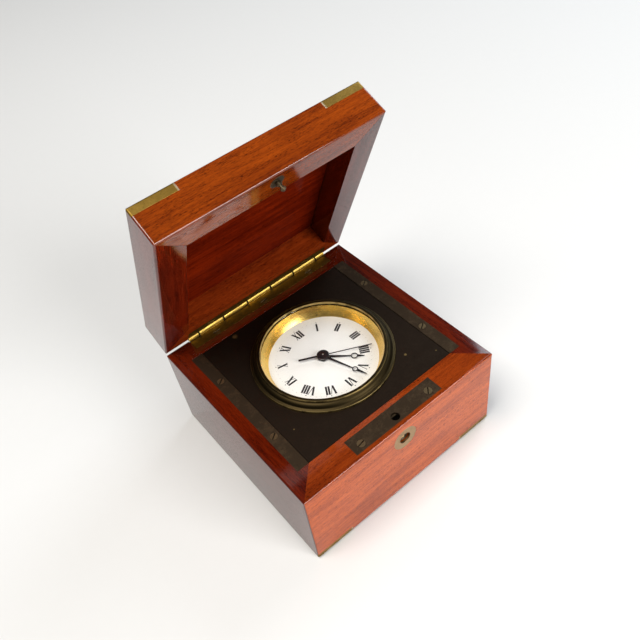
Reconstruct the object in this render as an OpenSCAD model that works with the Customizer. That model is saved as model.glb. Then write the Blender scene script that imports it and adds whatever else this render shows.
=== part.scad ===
// Boxed deck chronometer: a mitred hardwood case with a hinged lid, a flush deck and a brass clock bowl.
// Millimetres, +Z up. The origin is the middle of the face that the case stands on, and +Y is the hinge side.
// The lid stands open by lid_open degrees, the pose in which the clock is read.

/* [Case] */
// Outside width of the case
box_w = 130; // [126:1:140]
// Outside depth of the case, front to hinge
box_d = 128; // [126:1:140]
// Height of the lower box, from the table to its rim
base_h = 59.5; // [59.5:0.5:66]
// Height of the closed lid above its own rim
lid_h = 21.4; // [19:0.2:26]
// Thickness of the side walls
side_t = 15.8; // [15:0.2:18]
// Thickness of the front wall, which holds the lock
front_t = 16; // [15.6:0.2:18]
// Thickness of the back wall, which holds the hinge
back_t = 13.8; // [13:0.2:16]
// Thickness of the four lid rails
rail_t = 15.9; // [15:0.1:18]
// Thickness of the panel in the top of the lid
panel_t = 7.9; // [5:0.1:9]
// Rounding of every outside edge of the wood
arris_r = 1.1; // [0.6:0.1:1.6]
// Thickness of the felt under the case
felt_t = 0.8; // [0.6:0.1:1.5]

/* [Hinge] */
// Angle of the lid from closed
lid_open = 65.3; // [50:0.1:90]
// Radius of the hinge barrel
barrel_r = 2.1; // [1.9:0.1:2.4]
// Length of the hinge
hinge_l = 101; // [90:1:104]
// How far the hinge is set off to the right
hinge_x = 1; // [-1:0.5:1.5]
// Length of each end knuckle
end_knuckle = 7; // [5:0.5:10]
// Thickness of the hinge leaves
leaf_t = 1.4; // [1.2:0.1:1.6]
// Radius of the hinge pin
pin_r = 1; // [0.8:0.1:1.2]

/* [Lock] */
// Length of the lock plate
plate_l = 58.4; // [50:0.2:64]
// Width of the lock plate
plate_w = 10.3; // [9.5:0.1:11]
// Radius of the round escutcheon in the front
escutcheon_r = 7.6; // [6:0.1:9]
// Travel of the push button and of the catch
button_travel = 1.2; // [0.8:0.1:1.2]
// Length of the stud under the lid
stud_l = 5.5; // [5.2:0.1:6]

/* [Clock] */
// Radius of the bezel flange
bezel_r = 40.4; // [39:0.1:42]
// Radius of the opening in the bezel
sight_r = 34.3; // [33.5:0.1:34.4]
// Height of the bezel above the deck
bezel_h = 5.2; // [5.2:0.1:7]
// Clockwise angle of the hour hand from twelve
hour_angle = 132.8; // [0:0.1:359]
// Clockwise angle of the minute hand from twelve
minute_angle = 161.3; // [0:0.1:359]
// Clockwise angle of the seconds hand from twelve
seconds_angle = 118; // [0:0.1:359]

/* [Hidden] */
$fn = 64;
eps = 0.01;
running = 0.07;
walnut = [0.42, 0.12, 0.06];
dark_brass = [0.28, 0.24, 0.16];
bright_brass = [0.80, 0.60, 0.22];
bronze = [0.22, 0.18, 0.10];
steel = [0.70, 0.70, 0.72];
plastic = [0.12, 0.12, 0.13];

// Case: the inside of the box, and the deck that closes it
in_x = box_w / 2 - side_t;
in_front = -box_d / 2 + front_t;
in_back = box_d / 2 - back_t;
in_mid = (in_front + in_back) / 2;
clock_y = in_mid;
floor_top = 8;
bar_w = 7.1;
bar_t = 2.5;
tongue_t = 1.5;
tongue_w = 4.2;
deck_gap = 0.3;
deck_drop = 0.2;
bar_screw_y = 24.5;
bar_head_r = 2;
bar_shank_r = 0.9;
ledge_w = 6;
ledge_h = 9;
ledge_top = base_h - bar_t - tongue_t;

// Straps: brass corners let flush into the wood
strap_l = 24.2;
strap_h = 4.9;
strap_foot_h = 3.4;
strap_t = 1;
strap_arm = 6;

// Hinge and lid
lid_gap = 0.3;
lid_z = base_h + lid_gap;
hinge_y = box_d / 2 + 0.4;
hinge_z = base_h + 1.1;
knuckle_gap = 0.3;
leaf_front = 55.4;
leaf_screw_pitch = 34.6;
mid_knuckle = (hinge_l - 2 * end_knuckle) / 5;
leaf_screw_y = leaf_front + 2.8;
screw_head_r = 2.2;
screw_head_h = 1;
screw_shank_r = 1.1;
screw_l = 9;

// Lock
plate_t = 1.5;
plate_back = -51;
plate_front = plate_back - plate_w;
stud_y = -57.3;
stud_r = 1.5;
stud_neck_r = 0.95;
stud_flange_r = 3.9;
stud_flange_t = 1.2;
keep_r = 2.5;
lock_screw_x = 23.2;
lock_body_w = 38;
lock_body_back = -49.6;
lock_body_front = -60.6;
lock_body_d = lock_body_back - lock_body_front;
lock_body_h = 20;
lock_body_floor = base_h - plate_t - lock_body_h;
lock_wall = 1;
button_z = base_h - 12.4;
button_r = 3.2;
button_front = -box_d / 2 + 1.5;
button_head = 2.6;
stem_r = 1.5;
escutcheon_t = 1.2;
escutcheon_hole_r = 3.5;
catch_t = 1.4;
catch_front = stud_y + stud_r + 0.35;

// Clock, from the deck down
deck_top = base_h - deck_drop;
bowl_r = 35;
bowl_wall = 1;
bowl_floor = 30;
cap_h = 5;
cap_ring_r = bowl_r - bowl_wall - 0.05;
dial_top = base_h - 3.8;
dial_t = 0.8;
dial_r = 33.6;
dial_shelf_r = 31.6;
crystal_t = 1.5;
crystal_top = deck_top + bezel_h - 1.2;
crystal_r = 35.1;
bezel_bore_r = 35.3;
reflector_foot_r = 31;
reflector_r = 33.8;
hub_hole_r = 2.9;
nut_t = 0.7;

// Hands, from the dial up
hour_hand_z = dial_top + 0.9;
minute_hand_z = dial_top + 1.5;
seconds_hand_z = dial_top + 2.1;
hand_t = 0.4;
hour_hand_l = 23;
minute_hand_l = 28;
seconds_hand_l = 28;
seconds_tail_l = 14;
hub_r = 3.6;

// Movement, hung under the dial
case_w = 42;
case_wall = 1.2;
case_top = dial_top - dial_t;
case_h = 16;
case_bottom = dial_top - dial_t - case_h;
case_post_at = 18.2;
case_post_r = 2;
cover_screw_r = 0.6;
cover_t = 1.5;
post_r = 0.42;
motion_post_r = 0.82;
post_bore_r = post_r + running;
shaft_r = 0.6;
minute_bore_r = shaft_r + 0.08;
minute_tube_r = 1.3;
hour_bore_r = minute_tube_r + 0.08;
hour_tube_r = 2;
boss_bore_r = hour_tube_r + 0.08;
boss_r = 2.8;
wheel_t = 0.8;
pinion_t = 1.2;
fine_module = 0.25;
step_module = 0.3;
motion_module = 0.4;
third_cd = fine_module * (60 + 8) / 2;
minute_module = 2 * third_cd / (64 + 8);
motion_cd = motion_module * (10 + 30) / 2;
setting_cd = motion_module * (30 + 15) / 2;
step_cd = step_module * (48 + 8) / 2;
rotor_cd = step_module * (40 + 8) / 2;
third_dir = 200;
motion_dir = 60;
setting_dir = 30;
step_dir = 300;
rotor_dir = 330;
third_at = polar(third_cd, third_dir);
motion_at = polar(motion_cd, motion_dir);
setting_at = motion_at + polar(setting_cd, setting_dir);
step_at = polar(step_cd, step_dir);
rotor_at = step_at + polar(rotor_cd, rotor_dir);
rotor_z = case_bottom + 2;
seconds_z = rotor_z + 2;
third_z = seconds_z + 2;
minute_z = third_z + 2;
motion_z = minute_z + 1.8;
hour_z = motion_z + 1.8;
battery_at = [-11.5, 11.5];
battery_r = 5.8;
battery_h = 5.2;
coil_at = [-8.5, -14, case_bottom + 5];
coil_l = 13;
coil_r = 3.2;
board_at = [14.8, 1.2, case_bottom + 1.8];

function polar(r, a) = [r * cos(a), r * sin(a)];
function involute(a) = tan(a) * 180 / PI - a;
// Half the angle that a tooth takes up at radius r
function half_tooth(n, m, r, press, width) =
    let (base = m * n / 2 * cos(press))
    width * 90 / n + involute(press) - (r > base ? involute(acos(base / r)) : 0);
// Phase of the second wheel of a pair, so that its gap meets the first wheel's tooth
function mesh_phase(dir, phase, n1, n2) =
    dir + 180 - (0.5 - (dir - phase) * n1 / 360) * 360 / n2;

// Outline of a wheel with short involute teeth, thin enough to run with backlash
module toothed(n, m, phase = 0, steps = 2, press = 25, width = 0.88, addendum = 0.7, dedendum = 0.95) {
    root = m * (n / 2 - dedendum);
    tip = m * (n / 2 + addendum);
    flank = [for (k = [0:steps]) root + (tip - root) * k / steps];
    polygon([for (i = [0:n - 1], side = [-1, 1], k = [0:steps])
        let (r = flank[side < 0 ? k : steps - k])
        polar(r, phase + 360 * i / n + side * half_tooth(n, m, r, press, width))]);
}

module wheel(n, m, z, t, phase = 0, steps = 2)
    translate([0, 0, z]) linear_extrude(t) toothed(n, m, phase, steps);

// Rectangle with round corners, its lower left corner at the origin
module rounded_rect(w, h, r) {
    translate([r, 0]) square([w - 2 * r, h]);
    translate([0, r]) square([w, h - 2 * r]);
    for (x = [r, w - r], y = [r, h - r]) translate([x, y]) circle(r, $fn = 32);
}

// Block over the whole plan of the case, its outside edges rounded
module case_block(z0, h) {
    translate([-box_w / 2, -box_d / 2, z0]) intersection() {
        linear_extrude(h) rounded_rect(box_w, box_d, arris_r);
        rotate([90, 0, 90]) linear_extrude(box_w) rounded_rect(box_d, h, arris_r);
        translate([0, box_d, 0]) rotate([90, 0, 0]) linear_extrude(box_d) rounded_rect(box_w, h, arris_r);
    }
}

// Wedge of the plan that one mitred board takes: side is front, back, left or right
module board_plan(side, x, front, back) {
    corners = [[-box_w, -box_d], [box_w, -box_d], [box_w, box_d], [-box_w, box_d]] / 2;
    inner = [[-x, front], [x, front], [x, back], [-x, back]];
    k = side == "front" ? 0 : side == "right" ? 1 : side == "back" ? 2 : 3;
    polygon([corners[k], corners[(k + 1) % 4], inner[(k + 1) % 4], inner[k]]);
}

module board(side, z0, h, x, front, back)
    intersection() {
        case_block(z0, h);
        translate([0, 0, z0 - 1]) linear_extrude(h + 2) board_plan(side, x, front, back);
    }

module wall(side) board(side, felt_t, base_h - felt_t, in_x, in_front, in_back);

module rail(side) board(side, lid_z, lid_h, box_w / 2 - rail_t, -box_d / 2 + rail_t, box_d / 2 - rail_t);

// Puts what is drawn for the closed lid where the open lid stands
module lid_pose()
    translate([0, hinge_y, hinge_z]) rotate([-lid_open, 0, 0]) translate([0, -hinge_y, -hinge_z]) children();

module hinge_line(r, l = hinge_l)
    translate([hinge_x - l / 2, hinge_y, hinge_z]) rotate([0, 90, 0]) cylinder(h = l, r = r);

// Brass angle let in along an edge, at a corner of the case: up is +1 at the top, -1 at the bottom
module corner_strap(sx, sy, z, up, height)
    translate([sx * box_w / 2, sy * box_d / 2, z]) scale([-sx, -sy, -up]) difference() {
        cube([strap_l, strap_arm, height]);
        translate([-1, strap_t, strap_t]) cube([strap_l + 2, strap_arm, height]);
    }

module straps(sy, z, up, height) for (sx = [-1, 1]) corner_strap(sx, sy, z, up, height);

// The part of the straps inside the rounded block, and the pocket they leave in the wood
module fitted_straps(sy, z, up, height, z0, h)
    intersection() {
        case_block(z0, h);
        straps(sy, z, up, height);
    }

module lid_straps(sy) fitted_straps(sy, lid_z + lid_h, 1, strap_h, lid_z, lid_h);

module base_straps(sy) fitted_straps(sy, felt_t, -1, strap_foot_h, felt_t, base_h - felt_t);

module base_pockets() {
    straps(-1, felt_t, -1, strap_foot_h);
    straps(1, felt_t, -1, strap_foot_h);
}

module lid_pockets() {
    straps(-1, lid_z + lid_h, 1, strap_h);
    straps(1, lid_z + lid_h, 1, strap_h);
}

// Countersunk slotted screw, its head's top at the origin and its shank down
module screw(length, head_r = screw_head_r, shank_r = screw_shank_r)
    difference() {
        union() {
            translate([0, 0, -screw_head_h]) cylinder(h = screw_head_h, r = head_r);
            translate([0, 0, -length]) cylinder(h = length, r = shank_r);
        }
        translate([-head_r - 1, -0.3, -0.4]) cube([2 * head_r + 2, 0.6, 1]);
    }

module screw_hole(length, head_r = screw_head_r, shank_r = screw_shank_r) {
    translate([0, 0, -screw_head_h]) cylinder(h = screw_head_h + 1, r = head_r);
    translate([0, 0, -length]) cylinder(h = length, r = shank_r);
}

// Where the hinge screws stand, for a leaf whose outer face is at z
module at_leaf_screws(z, flip = 0)
    for (k = [-1:1])
        translate([hinge_x + k * leaf_screw_pitch, leaf_screw_y, z]) rotate([flip, 0, 0]) children();

module at_lock_screws()
    for (sx = [-1, 1]) translate([sx * lock_screw_x, stud_y, base_h]) rotate(sx * 20 + 30) children();

module at_bar_screws(sx)
    for (y = [-bar_screw_y, bar_screw_y])
        translate([sx * (in_x + bar_w / 2 - 0.2), in_mid + y, base_h]) rotate(35) children();

// ---- Lower box ----

module bar_pockets(sx) {
    translate([sx > 0 ? in_x - 1 : -in_x - bar_w, in_front, base_h - bar_t])
        cube([bar_w + 1, in_back - in_front, bar_t + 1]);
    translate([sx > 0 ? in_x - 1 : -in_x - tongue_w, in_front, ledge_top])
        cube([tongue_w + 1, in_back - in_front, tongue_t + eps]);
    at_bar_screws(sx) screw_hole(screw_l, bar_head_r, bar_shank_r);
}

module base_front_wall() color(walnut) difference() {
    wall("front");
    base_pockets();
    translate([-plate_l / 2, plate_front, base_h - plate_t]) cube([plate_l, plate_w, plate_t + 1]);
    translate([-lock_body_w / 2 - 0.2, lock_body_front - 0.2, lock_body_floor - 0.2])
        cube([lock_body_w + 0.4, lock_body_d + 0.4, lock_body_h + 1]);
    translate([0, -box_d / 2 - 1, button_z]) rotate([-90, 0, 0]) {
        cylinder(h = 1 + escutcheon_t, r = escutcheon_r);
        cylinder(h = 6, r = escutcheon_hole_r + 0.1);
    }
    at_lock_screws() screw_hole(screw_l);
}

module base_back_wall() color(walnut) difference() {
    wall("back");
    base_pockets();
    hinge_line(barrel_r + 0.35, hinge_l + 0.6);
    translate([hinge_x - hinge_l / 2, leaf_front, base_h - leaf_t]) cube([hinge_l, 20, leaf_t + 1]);
    at_leaf_screws(base_h) screw_hole(screw_l);
}

module base_side_wall(side, sx) color(walnut) difference() {
    wall(side);
    base_pockets();
    bar_pockets(sx);
}

module base_left_wall() base_side_wall("left", -1);

module base_right_wall() base_side_wall("right", 1);

module base_floor() color(walnut)
    translate([-in_x, in_front, felt_t]) cube([2 * in_x, in_back - in_front, floor_top - felt_t]);

module base_felt() color([0.05, 0.18, 0.10])
    translate([-box_w / 2 + 2, -box_d / 2 + 2, 0]) cube([box_w - 4, box_d - 4, felt_t]);

module deck_ledges() color(walnut) difference() {
    translate([-in_x, in_front, ledge_top - ledge_h]) cube([2 * in_x, in_back - in_front, ledge_h]);
    translate([-in_x + ledge_w, in_front + ledge_w, 0])
        cube([2 * (in_x - ledge_w), in_back - in_front - 2 * ledge_w, base_h]);
}

module base_straps_front() color(bright_brass) base_straps(-1);

module base_straps_back() color(bright_brass) base_straps(1);

// ---- Lid ----

module lid_front_rail() color(walnut) lid_pose() difference() {
    rail("front");
    lid_pockets();
    translate([0, stud_y, lid_z - 1]) cylinder(h = 1 + stud_flange_t, r = stud_flange_r);
    translate([0, stud_y, lid_z - 1]) cylinder(h = 9, r = 1.2);
}

module lid_back_rail() color(walnut) lid_pose() difference() {
    rail("back");
    lid_pockets();
    hinge_line(barrel_r + 0.35, hinge_l + 0.6);
    translate([hinge_x - hinge_l / 2, leaf_front, lid_z - 1]) cube([hinge_l, 20, leaf_t + 1]);
    at_leaf_screws(lid_z, 180) screw_hole(screw_l);
}

module lid_left_rail() color(walnut) lid_pose() difference() {
    rail("left");
    lid_pockets();
}

module lid_right_rail() color(walnut) lid_pose() difference() {
    rail("right");
    lid_pockets();
}

module lid_top_panel() color(walnut) lid_pose()
    translate([-box_w / 2 + rail_t, -box_d / 2 + rail_t, lid_z + lid_h - panel_t])
        cube([box_w - 2 * rail_t, box_d - 2 * rail_t, panel_t]);

module lid_straps_front() color(bright_brass) lid_pose() lid_straps(-1);

module lid_straps_back() color(bright_brass) lid_pose() lid_straps(1);

// Turned stud: a flange let into the rim, a neck for the catch and a tapered tip
module lid_stud() color(dark_brass) lid_pose()
    translate([0, stud_y, lid_z]) rotate_extrude() polygon([
        [0, 8], [1.2, 8], [1.2, stud_flange_t], [stud_flange_r, stud_flange_t], [stud_flange_r, 0], [stud_r, 0],
        [stud_r, -stud_l + 3.6], [stud_neck_r, -stud_l + 3.3], [stud_neck_r, -stud_l + 1.7],
        [stud_r, -stud_l + 1.4], [stud_r, -stud_l + 0.9], [0.7, -stud_l], [0, -stud_l]]);

// ---- Hinge ----

// Seven knuckles: the even ones belong to the base leaf, the odd ones to the lid leaf
function knuckle_start(k) = hinge_x - hinge_l / 2 + (k == 0 ? 0 : end_knuckle + (k - 1) * mid_knuckle);
function knuckle_length(k) = k == 0 || k == 6 ? end_knuckle : mid_knuckle;

module knuckle(k, grow = 0, r = barrel_r)
    translate([knuckle_start(k) + knuckle_gap / 2 - grow, hinge_y, hinge_z]) rotate([0, 90, 0])
        cylinder(h = knuckle_length(k) - knuckle_gap + 2 * grow, r = r);

module leaf(z, own) difference() {
    union() {
        translate([hinge_x - hinge_l / 2 + 0.15, leaf_front, z])
            cube([hinge_l - 0.3, hinge_y - barrel_r - 0.35 - leaf_front, leaf_t]);
        for (k = own) {
            knuckle(k);
            translate([knuckle_start(k) + knuckle_gap / 2, leaf_front, z])
                cube([knuckle_length(k) - knuckle_gap, hinge_y - leaf_front - pin_r, leaf_t]);
        }
    }
    hinge_line(pin_r + running / 2, hinge_l + 2);
}

module hinge_base_leaf() color(bright_brass) difference() {
    leaf(base_h - leaf_t, [1, 3, 5]);
    at_leaf_screws(base_h) screw_hole(screw_l);
}

module hinge_lid_leaf() color(bright_brass) lid_pose() difference() {
    leaf(lid_z, [0, 2, 4, 6]);
    at_leaf_screws(lid_z, 180) screw_hole(screw_l);
}

module hinge_pin() color(steel) hinge_line(pin_r, hinge_l - knuckle_gap);

module hinge_base_screws() color(dark_brass) at_leaf_screws(base_h) screw(screw_l);

module hinge_lid_screws() color(dark_brass) lid_pose() at_leaf_screws(lid_z, 180) screw(screw_l);

// ---- Lock ----

module lock_plate() color(dark_brass) difference() {
    translate([-plate_l / 2, plate_front, base_h - plate_t]) cube([plate_l, plate_w, plate_t]);
    translate([0, stud_y, base_h - 5]) cylinder(h = 10, r = keep_r);
    at_lock_screws() screw_hole(screw_l);
}

module lock_plate_screws() color(dark_brass) at_lock_screws() screw(screw_l);

// Pressed box under the plate, open for the stud above and for the button in front
module lock_body() color(steel) difference() {
    translate([-lock_body_w / 2, lock_body_front, lock_body_floor])
        cube([lock_body_w, lock_body_d, lock_body_h]);
    translate([-lock_body_w / 2 + lock_wall, lock_body_front + lock_wall, lock_body_floor + lock_wall])
        cube([lock_body_w - 2 * lock_wall, lock_body_d - 2 * lock_wall, lock_body_h]);
    translate([0, lock_body_front - 1, button_z]) rotate([-90, 0, 0])
        cylinder(h = 4, r = escutcheon_hole_r + 0.1);
}

// Upright slide whose top edge reaches under the plate, behind the stud
module lock_catch() color(dark_brass) {
    translate([-6, catch_front, button_z - 6]) cube([12, catch_t, base_h - plate_t - 0.3 - button_z + 6]);
    translate([-6, catch_front - 0.3, base_h - plate_t - 1.5]) cube([12, 0.3 + eps, 1.2]);
}

// Leaf spring that stands on the floor of the lock body, behind the catch
module catch_spring() color(steel)
    translate([-2.5, lock_body_back - lock_wall - 0.8, lock_body_floor + lock_wall])
        cube([5, 0.4, 13]);

module push_button() color(bright_brass)
    translate([0, button_front, button_z]) rotate([-90, 0, 0]) {
        cylinder(h = button_head, r = button_r);
        cylinder(h = catch_front - 0.4 - button_front, r = stem_r);
    }

module escutcheon() color(bright_brass)
    translate([0, -box_d / 2, button_z]) rotate([-90, 0, 0]) difference() {
        cylinder(h = escutcheon_t, r = escutcheon_r);
        translate([0, 0, -1]) cylinder(h = 4, r = escutcheon_hole_r);
    }

// ---- Deck ----

module deck_plate() color([0.13, 0.09, 0.07]) difference() {
    union() {
        translate([-in_x + deck_gap, in_front + deck_gap, ledge_top])
            cube([2 * (in_x - deck_gap), in_back - in_front - 2 * deck_gap, deck_top - ledge_top]);
        translate([-in_x - tongue_w + 0.4, in_front + deck_gap, ledge_top])
            cube([2 * (in_x + tongue_w - 0.4), in_back - in_front - 2 * deck_gap, tongue_t - 0.05]);
    }
    translate([0, clock_y, base_h - 10]) cylinder(h = 20, r = bowl_r + 0.25);
    for (sx = [-1, 1]) at_bar_screws(sx) screw_hole(screw_l, bar_head_r, bar_shank_r + 0.1);
}

module deck_bar(sx) color(dark_brass) difference() {
    translate([sx > 0 ? in_x : -in_x - bar_w, in_front + 0.05, base_h - bar_t])
        cube([bar_w, in_back - in_front - 0.1, bar_t]);
    at_bar_screws(sx) screw_hole(screw_l, bar_head_r, bar_shank_r);
}

module deck_bar_left() deck_bar(-1);

module deck_bar_right() deck_bar(1);

module deck_bar_screws() color(dark_brass) {
    at_bar_screws(-1) screw(screw_l, bar_head_r, bar_shank_r);
    at_bar_screws(1) screw(screw_l, bar_head_r, bar_shank_r);
}

// ---- Clock ----

module at_clock() translate([0, clock_y, 0]) children();

// Turned cup with a shelf under the dial and a plain lower end for its cap
module bowl() at_clock() color(bright_brass) rotate_extrude(convexity = 4) polygon([
    [bowl_r - bowl_wall, bowl_floor], [bowl_r, bowl_floor], [bowl_r, deck_top], [bowl_r - bowl_wall, deck_top],
    [bowl_r - bowl_wall, dial_top - dial_t], [dial_shelf_r, dial_top - dial_t],
    [dial_shelf_r, dial_top - dial_t - 1.4], [bowl_r - bowl_wall, dial_top - dial_t - 2.8]]);

module bowl_cap() at_clock() color(bright_brass) rotate_extrude() polygon([
    [0, bowl_floor - 1.5], [bowl_r, bowl_floor - 1.5], [bowl_r, bowl_floor],
    [cap_ring_r, bowl_floor], [cap_ring_r, bowl_floor + cap_h],
    [cap_ring_r - 1, bowl_floor + cap_h], [cap_ring_r - 1, bowl_floor], [0, bowl_floor]]);

// Stepped ring that stands on the deck and holds the crystal under its lip
module bezel() at_clock() color(bronze) translate([0, 0, deck_top]) rotate_extrude(convexity = 4) polygon([
    [bezel_bore_r, 0], [bezel_r, 0], [bezel_r, 1.2], [bezel_r - 0.4, 1.6], [bezel_r - 1.6, 1.8],
    [bezel_r - 2, 2.6], [bezel_r - 2.9, 3.6], [bezel_r - 3.9, 4.1], [bezel_r - 4.1, bezel_h - 0.5],
    [bezel_r - 4.6, bezel_h], [sight_r + 0.3, bezel_h], [sight_r, bezel_h - 0.3],
    [sight_r, bezel_h - 1.2], [bezel_bore_r, bezel_h - 1.2]]);

module crystal() at_clock() color([0.85, 0.9, 0.95, 0.3])
    translate([0, 0, crystal_top - crystal_t]) cylinder(h = crystal_t, r = crystal_r);

// Polished cone that stands on the dial, its upper rim spread over the bowl to carry the crystal
module reflector_ring() at_clock() color(bright_brass) rotate_extrude() polygon([
    [reflector_foot_r, dial_top + 0.02], [reflector_r, dial_top + 0.02], [reflector_r, deck_top + 0.02],
    [crystal_r, deck_top + 0.02], [crystal_r, crystal_top - crystal_t], [sight_r, crystal_top - crystal_t]]);

module dial() at_clock() color([0.93, 0.92, 0.88]) translate([0, 0, dial_top - dial_t]) difference() {
    cylinder(h = dial_t, r = dial_r);
    translate([0, 0, -1]) cylinder(h = 4, r = hub_hole_r);
}

module dial_nut() at_clock() color(steel) translate([0, 0, dial_top]) difference() {
    cylinder(h = nut_t, r = hub_r, $fn = 6);
    translate([0, 0, -1]) cylinder(h = 3, r = boss_r);
}

// Hand with a pierced ring near its tip, pointing to twelve
module ring_hand(length, width, ring_at, ring_r) {
    point_l = length - ring_at - ring_r + 0.3;
    difference() {
        union() {
            circle(hub_r - 0.2);
            polygon([[-width, 0], [width, 0], [0.35, ring_at - ring_r + 0.2], [-0.35, ring_at - ring_r + 0.2]]);
            translate([0, ring_at]) circle(ring_r);
            translate([0, ring_at + ring_r - 0.3])
                polygon([[-0.8, 0], [0.8, 0], [0.2, point_l], [-0.2, point_l]]);
        }
        translate([0, ring_at]) circle(ring_r - 0.6);
    }
}

// Puts a flat hand at its height and angle on the arbors
module hand_at(z, angle) at_clock() translate([0, 0, z]) rotate(-angle) linear_extrude(hand_t) children();

module hour_hand() color("black") hand_at(hour_hand_z, hour_angle)
    difference() {
        ring_hand(hour_hand_l, 1, 17.4, 2);
        circle(hour_tube_r);
    }

module minute_hand() color("black") hand_at(minute_hand_z, minute_angle)
    difference() {
        ring_hand(minute_hand_l, 0.9, 20.6, 1.7);
        circle(minute_tube_r);
    }

module seconds_hand() color("black") hand_at(seconds_hand_z, seconds_angle)
    difference() {
        union() {
            circle(hub_r - 0.5);
            translate([-0.25, 0]) square([0.5, seconds_hand_l]);
            translate([-0.6, -seconds_tail_l]) square([1.2, seconds_tail_l]);
        }
        circle(shaft_r);
    }

// ---- Movement ----

module tube(r, bore, z0, z1)
    translate([0, 0, z0]) difference() {
        cylinder(h = z1 - z0, r = r);
        translate([0, 0, -1]) cylinder(h = z1 - z0 + 2, r = bore);
    }

// A wheel or pinion with a round hole through it
module bored_wheel(n, m, z, t, bore, phase = 0, steps = 2)
    difference() {
        wheel(n, m, z, t, phase, steps);
        translate([0, 0, z - 1]) cylinder(h = t + 2, r = bore);
    }

module hour_wheel() at_clock() color(bright_brass) {
    bored_wheel(32, motion_module, hour_z + 0.2, wheel_t, hour_bore_r, mesh_phase(motion_dir + 180, 0, 8, 32));
    tube(hour_tube_r, hour_bore_r, hour_z + 0.2, hour_hand_z + hand_t);
}

module motion_wheel() at_clock() color("white") translate(motion_at) {
    bored_wheel(30, motion_module, motion_z + 0.2, wheel_t, motion_post_r + running,
        mesh_phase(motion_dir, 0, 10, 30));
    bored_wheel(8, motion_module, motion_z + 1, hour_z + 1.4 - motion_z - 1, motion_post_r + running, 0, 4);
}

module minute_wheel() at_clock() color(bright_brass) {
    bored_wheel(64, minute_module, minute_z + 0.2, wheel_t, minute_bore_r,
        mesh_phase(third_dir + 180, 0, 8, 64));
    bored_wheel(10, motion_module, motion_z, pinion_t + 0.2, minute_bore_r, 0, 4);
    tube(minute_tube_r, minute_bore_r, minute_z + 0.2, minute_hand_z + hand_t);
}

module third_wheel() at_clock() color("white") translate(third_at) {
    bored_wheel(60, fine_module, third_z + 0.2, wheel_t, post_bore_r, mesh_phase(third_dir, 0, 8, 60));
    bored_wheel(8, minute_module, third_z + 1, minute_z + pinion_t - third_z - 1, post_bore_r, 0, 4);
}

module seconds_wheel() at_clock() color(steel) {
    bored_wheel(48, step_module, seconds_z + 0.2, wheel_t, shaft_r, mesh_phase(step_dir + 180, 0, 8, 48));
    bored_wheel(8, fine_module, seconds_z + 1, third_z + pinion_t - seconds_z - 1, shaft_r, 0, 4);
    translate([0, 0, case_bottom + 0.4])
        cylinder(h = seconds_hand_z + hand_t - case_bottom - 0.4, r = shaft_r);
}

module intermediate_wheel() at_clock() color("white") translate(step_at) {
    bored_wheel(40, step_module, rotor_z + 0.2, wheel_t, post_bore_r, mesh_phase(rotor_dir + 180, 0, 8, 40));
    bored_wheel(8, step_module, rotor_z + 1, seconds_z + pinion_t - rotor_z - 1, post_bore_r, 0, 4);
}

module rotor() at_clock() color(steel) translate(rotor_at) {
    bored_wheel(8, step_module, rotor_z - 0.4, pinion_t + 0.4, post_bore_r, 0, 4);
    tube(2.4, post_bore_r, rotor_z - 1.6, rotor_z - 0.4);
}

// Laminated yoke from the coil's core to the hole around the rotor
module stator() at_clock() color(steel) translate([0, 0, rotor_z - 1.4]) difference() {
    linear_extrude(0.8) difference() {
        union() {
            translate([coil_at.x - coil_l / 2 - 2, coil_at.y - 2])
                square([rotor_at.x - coil_at.x + coil_l / 2, 4]);
            translate(rotor_at) circle(4.6);
        }
        translate(rotor_at) circle(2.8);
    }
    translate([rotor_at.x - 3.6, rotor_at.y + 4, -1]) cube([1, 2, 3]);
}

module coil() at_clock() color([0.55, 0.25, 0.12]) translate(coil_at) {
    rotate([0, 90, 0]) cylinder(h = coil_l - 2, r = coil_r, center = true);
    for (sx = [-1, 1]) translate([sx * (coil_l / 2 - 0.5), 0, 0]) {
        rotate([0, 90, 0]) cylinder(h = 1, r = coil_r + 0.2, center = true);
        translate([sx * 1.2 - 0.7, -1.7, rotor_z - 0.6 - coil_at.z]) cube([1.4, 3.4, coil_at.z - rotor_z + 2]);
    }
}

// Printed board with its chip and the tuning-fork crystal's can
module circuit_board() at_clock() color([0.1, 0.35, 0.2]) translate(board_at) {
    translate([-4.6, -6, 0]) cube([9.2, 12.4, 0.8]);
    translate([-2, -4, 0.8 - eps]) cube([4, 4, 0.9]);
    translate([1.2, 1, 1.7]) rotate([-90, 0, 0]) cylinder(h = 5, r = 0.95);
}

module battery() at_clock() color(steel) translate([battery_at.x, battery_at.y, case_bottom + 0.4]) {
    cylinder(h = battery_h - 1, r = battery_r);
    cylinder(h = battery_h, r = battery_r - 1);
}

module battery_contacts() at_clock() color(bright_brass) translate([battery_at.x, battery_at.y, case_bottom]) {
    translate([-1.5, -battery_r, 0]) cube([3, 2 * battery_r - 1, 0.4]);
    translate([-1.5, battery_r + 0.3, 0]) cube([3, 0.4, battery_h - 1]);
}

module setting_knob() at_clock() color("white") translate(setting_at) {
    wheel(15, motion_module, motion_z + 0.2, wheel_t, mesh_phase(setting_dir,
        mesh_phase(motion_dir, 0, 10, 30), 30, 15));
    translate([0, 0, case_bottom - cover_t - 0.4]) cylinder(h = motion_z - case_bottom + cover_t + 0.6, r = 1);
    translate([0, 0, case_bottom - cover_t - 3]) cylinder(h = 2.6, r = 3.4);
}

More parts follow.
